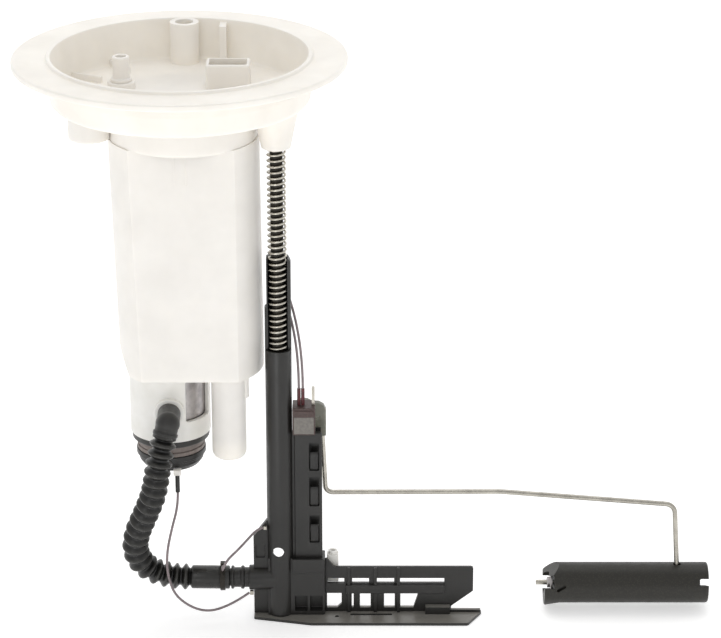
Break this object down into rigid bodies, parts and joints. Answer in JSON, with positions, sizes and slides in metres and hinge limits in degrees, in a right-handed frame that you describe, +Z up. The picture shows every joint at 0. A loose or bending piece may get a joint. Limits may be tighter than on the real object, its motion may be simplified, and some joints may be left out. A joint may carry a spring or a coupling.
{
  "type": "fuel pump module",
  "caption": "In-tank fuel pump module: cupped flange over a filter canister and pump, with a spring-loaded sliding carrier that holds a corrugated hose, a foot bracket and a float arm.",
  "frame": {"origin": "centre of the bowl's outside wall at the underside of the flange's rim, where the flange sits on the tank", "axes": "+Z up out of the tank along the flange's axis, +X towards the float arm, -Y towards the side with the hose elbow"},
  "size_m": [0.3311, 0.155, 0.2825],
  "materials": {
    "white_plastic": "satin moulded acetal",
    "milky_plastic": "satin, slightly see-through",
    "grey_plastic": "matt",
    "black_plastic": "satin moulded",
    "black_rubber": "satin",
    "steel": "drawn bright",
    "dark_steel": "phosphated and oiled",
    "plated_steel": "zinc plated",
    "brass": "stamped",
    "filter_paper": "folded paper",
    "brown_plastic": "matt",
    "card": "matt ceramic",
    "green_plastic": "slightly see-through",
    "float_foam": "matt foam",
    "lead_insulation": "satin",
    "red_sleeve": "satin"
  },
  "bodies": {
    "flange_unit": {"flange": "white_plastic", "connector_pins": "brass", "outlet_nipple": "white_plastic", "vent_housing": "white_plastic", "filter_canister": "white_plastic", "filter_element": "filter_paper", "filter_upper_cap": "grey_plastic", "filter_lower_cap": "grey_plastic", "pump_holder": "milky_plastic", "fuel_pump": "plated_steel", "pump_top": "black_plastic", "pump_isolator": "black_rubber", "inlet_cover": "grey_plastic", "pump_end_cap": "black_plastic", "inlet_elbow": "black_rubber", "suction_hose": "black_rubber", "regulator_housing": "white_plastic", "pressure_regulator": "plated_steel", "regulator_seal": "black_rubber", "guide_rod": "dark_steel", "rod_stop_ring": "steel", "guide_spring": "steel", "ground_clip": "white_plastic", "crimp_sleeve": "black_plastic", "ground_lead": "lead_insulation", "sensor_lead_a": "lead_insulation", "sensor_lead_b": "lead_insulation"},
    "vent_plunger": {"vent_float": "white_plastic"},
    "check_plunger": {"check_valve": "brass"},
    "carrier": {"guide_carrier": "black_plastic", "guide_bushing": "grey_plastic", "foot_bracket": "black_plastic", "foot_strainer": "grey_plastic", "jet_nozzle": "milky_plastic", "sensor_housing": "brown_plastic", "sensor_card": "card", "terminal_posts": "steel", "terminal_sleeves": "red_sleeve", "terminal_blade": "steel", "lead_tab": "steel", "jumper_tab": "steel", "hose_clip": "dark_steel", "jumper_lead": "lead_insulation"},
    "float_arm": {"arm_holder": "green_plastic", "float_wire": "steel", "wiper": "brass", "float": "float_foam", "push_nut": "plated_steel"}
  },
  "joints": [
    {"name": "carrier_slide", "type": "slide", "parent": "flange_unit", "child": "carrier", "axis": [0, 0, 1], "range_m": [0, 0.048], "stiffness_N_per_m": 250, "springref_m": -0.045, "deforming": ["guide_spring", "suction_hose", "ground_lead", "sensor_lead_a", "sensor_lead_b"]},
    {"name": "float_hinge", "type": "hinge", "parent": "carrier", "child": "float_arm", "pos_m": [0.0561, -0.0035, -0.1726], "axis": [0, -1, 0], "range_deg": [0, 58]},
    {"name": "vent_lift", "type": "slide", "parent": "flange_unit", "child": "vent_plunger", "axis": [0, 0, 1], "range_m": [0, 0.003]},
    {"name": "check_lift", "type": "slide", "parent": "flange_unit", "child": "check_plunger", "axis": [0, 0, 1], "range_m": [0, 0.003]}
  ]
}
